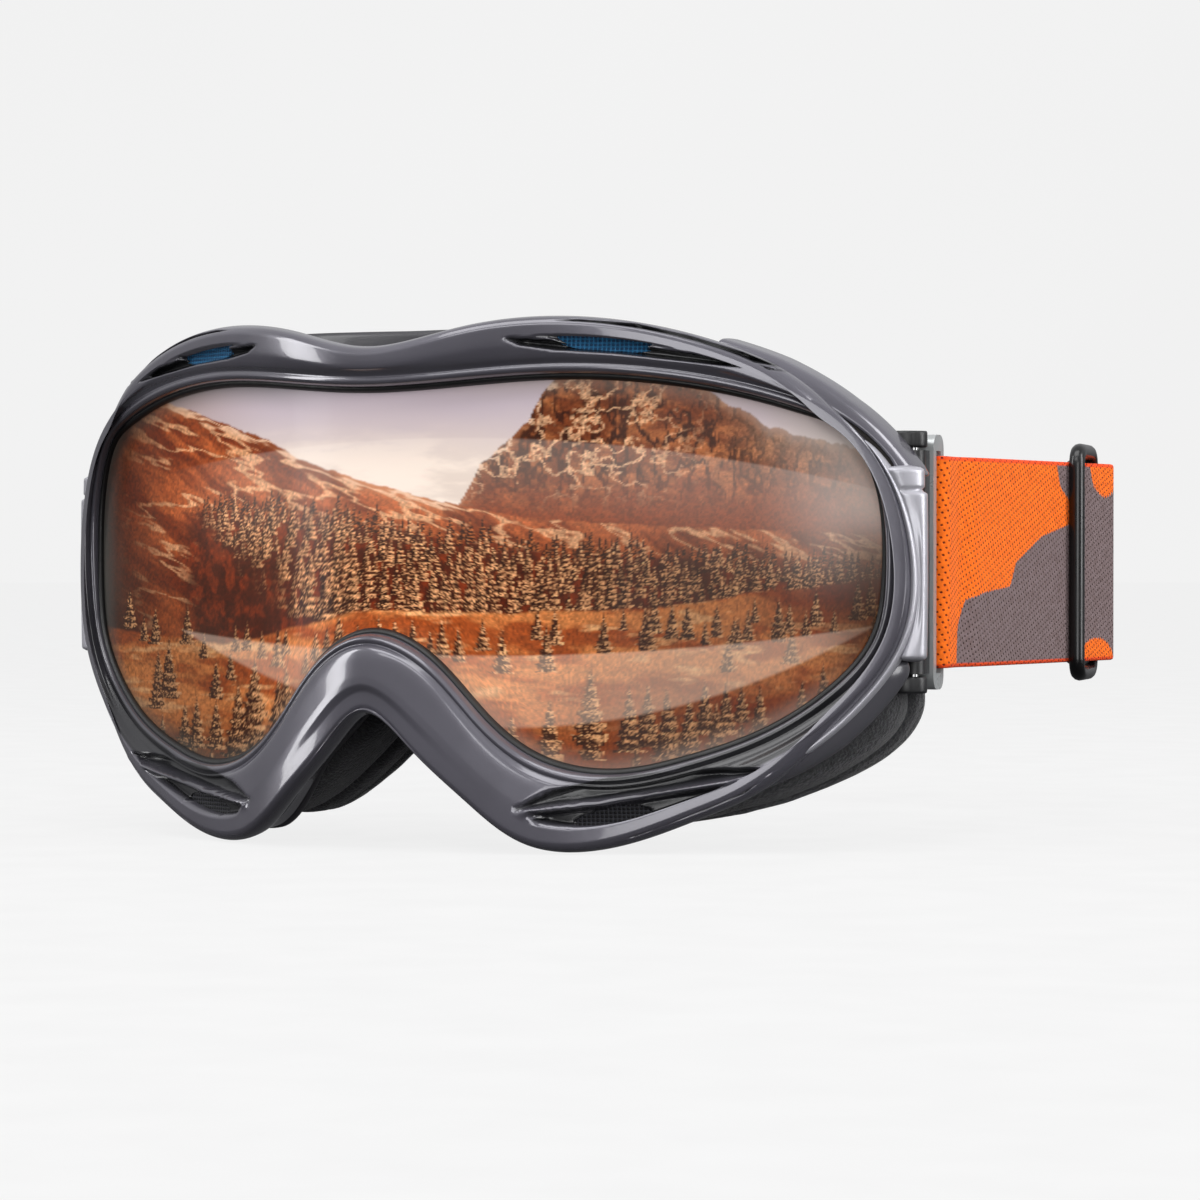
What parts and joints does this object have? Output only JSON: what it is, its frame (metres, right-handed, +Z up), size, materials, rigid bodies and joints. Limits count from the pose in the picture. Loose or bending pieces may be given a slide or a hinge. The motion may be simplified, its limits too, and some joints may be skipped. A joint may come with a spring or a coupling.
{
  "type": "ski goggles",
  "caption": "Wide curved-lens ski goggles: grey moulded frame with brow and cheek vents, face foam, hinged side rings and an adjustable elastic strap.",
  "frame": {"origin": "middle of the footprint: bottom centre of the overall box, on the floor plane", "axes": "+X to the wearer's left as seen from the front, i.e. to the viewer's right; +Y from the lens back to the strap; +Z up"},
  "size_m": [0.1922, 0.155, 0.096],
  "materials": {
    "frame_gloss": "glossy dark grey moulding with a faint purple cast",
    "rear_shell": "satin dark grey",
    "side_panel": "glossy grey",
    "mirror_lens": "amber mirror coating",
    "inner_lens": "clear amber, anti-fog",
    "seal_foam": "closed-cell foam",
    "gasket": "matte black",
    "clips": "satin",
    "blue_mesh": "fine mesh",
    "black_mesh": "fine mesh",
    "vent_foam": "open-cell foam",
    "face_foam": "soft charcoal foam",
    "fleece": "brushed fleece",
    "pin_steel": "plain",
    "black_plastic": "satin",
    "ring_grey": "satin light grey",
    "slider_black": "glossy black",
    "silicone": "soft clear-white silicone",
    "strap_webbing": "woven orange with grey-brown patches"
  },
  "bodies": {
    "frame": {"bottom_vent_foam_left": "vent_foam", "bottom_vent_foam_right": "vent_foam", "bottom_vent_mesh_left": "black_mesh", "bottom_vent_mesh_right": "black_mesh", "face_fleece": "fleece", "foam_base": "face_foam", "foam_middle": "face_foam", "front_frame": "frame_gloss", "grip_strips": "silicone", "inner_lens": "inner_lens", "lens_clips": "clips", "lens_gasket": "gasket", "lens_spacer": "seal_foam", "outer_lens": "mirror_lens", "rear_frame": "rear_shell", "side_cover_left": "side_panel", "side_cover_right": "side_panel", "strap_inner_left": "strap_webbing", "strap_inner_right": "strap_webbing", "strap_main": "strap_webbing", "top_vent_foam_left": "vent_foam", "top_vent_foam_right": "vent_foam", "top_vent_mesh_left": "blue_mesh", "top_vent_mesh_right": "blue_mesh", "hinge_pin_left": "pin_steel", "hinge_pin_right": "pin_steel"},
    "outrigger_left": {"outrigger_arm_left": "black_plastic", "outrigger_ring_left": "ring_grey", "strap_stub_left": "strap_webbing"},
    "slider_left": {"strap_slider_left": "slider_black", "strap_end_left": "strap_webbing"},
    "outrigger_right": {"outrigger_arm_right": "black_plastic", "outrigger_ring_right": "ring_grey", "strap_stub_right": "strap_webbing"},
    "slider_right": {"strap_slider_right": "slider_black", "strap_end_right": "strap_webbing"}
  },
  "joints": [
    {"name": "outrigger_swing_left", "type": "hinge", "parent": "frame", "child": "outrigger_left", "pos_m": [-0.084, -0.0223, 0.052], "axis": [0, 0, 1], "range_deg": [-3, 15]},
    {"name": "slider_travel_left", "type": "slide", "parent": "frame", "child": "slider_left", "axis": [0.1142, -0.9935, 0], "range_m": [0, 0.02]},
    {"name": "outrigger_swing_right", "type": "hinge", "parent": "frame", "child": "outrigger_right", "pos_m": [0.084, -0.0223, 0.052], "axis": [0, 0, -1], "range_deg": [-3, 15]},
    {"name": "slider_travel_right", "type": "slide", "parent": "frame", "child": "slider_right", "axis": [-0.1142, -0.9935, 0], "range_m": [0, 0.02]}
  ]
}
